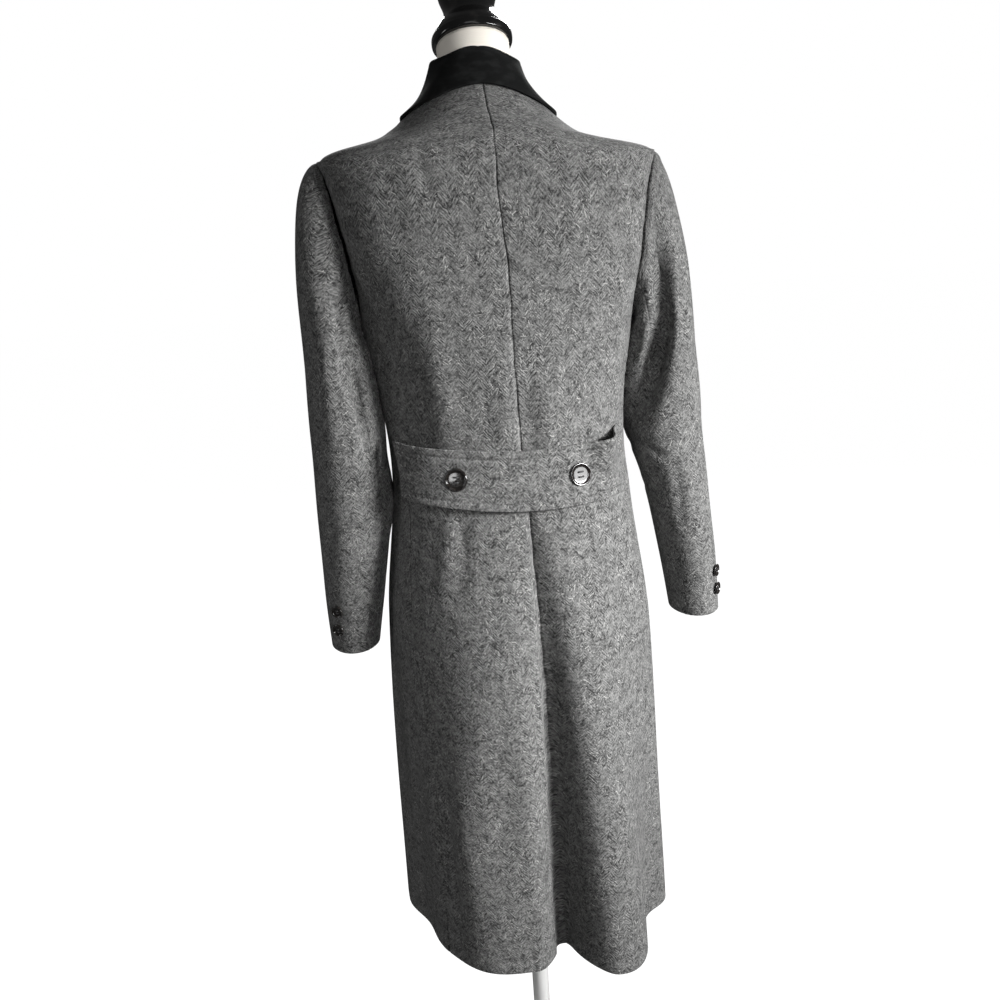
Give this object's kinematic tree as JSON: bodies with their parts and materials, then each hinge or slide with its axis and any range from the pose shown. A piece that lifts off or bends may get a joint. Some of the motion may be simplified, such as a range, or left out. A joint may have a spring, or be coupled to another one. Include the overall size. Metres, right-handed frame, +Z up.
{
  "type": "double-breasted long coat on a dress form",
  "caption": "Fitted long wool coat with a velvet collar, set-in sleeves, buttoned half belt and overlapping front, worn by a limbless dress form on a round foot.",
  "frame": {"origin": "centre of the foot's underside, on the floor", "axes": "+Z up; the coat faces -Y, so +Y is its back and +X the wearer's left"},
  "size_m": [0.538, 0.3998, 1.6652],
  "materials": {
    "wool": "matte",
    "velvet": "matte",
    "horn": "gloss",
    "form_cloth": "matte",
    "black_lacquer": "gloss",
    "white_steel": "satin"
  },
  "bodies": {
    "root": {"back_left": "wool", "back_right": "wool", "front_left": "wool", "front_right": "wool", "lapel_left": "wool", "lapel_right": "wool", "sleeve_left_upper": "wool", "sleeve_left_under": "wool", "sleeve_right_upper": "wool", "sleeve_right_under": "wool", "half_belt": "wool", "collar": "velvet", "belt_button_left": "horn", "belt_button_right": "horn", "cuff_button_left_1": "horn", "cuff_button_left_2": "horn", "cuff_button_right_1": "horn", "cuff_button_right_2": "horn", "front_button_left_1": "horn", "front_button_left_2": "horn", "front_button_left_3": "horn", "front_button_right_1": "horn", "front_button_right_2": "horn", "front_button_right_3": "horn", "form_torso": "form_cloth", "form_finial": "black_lacquer", "form_pole": "white_steel", "form_base": "white_steel"}
  },
  "joints": []
}
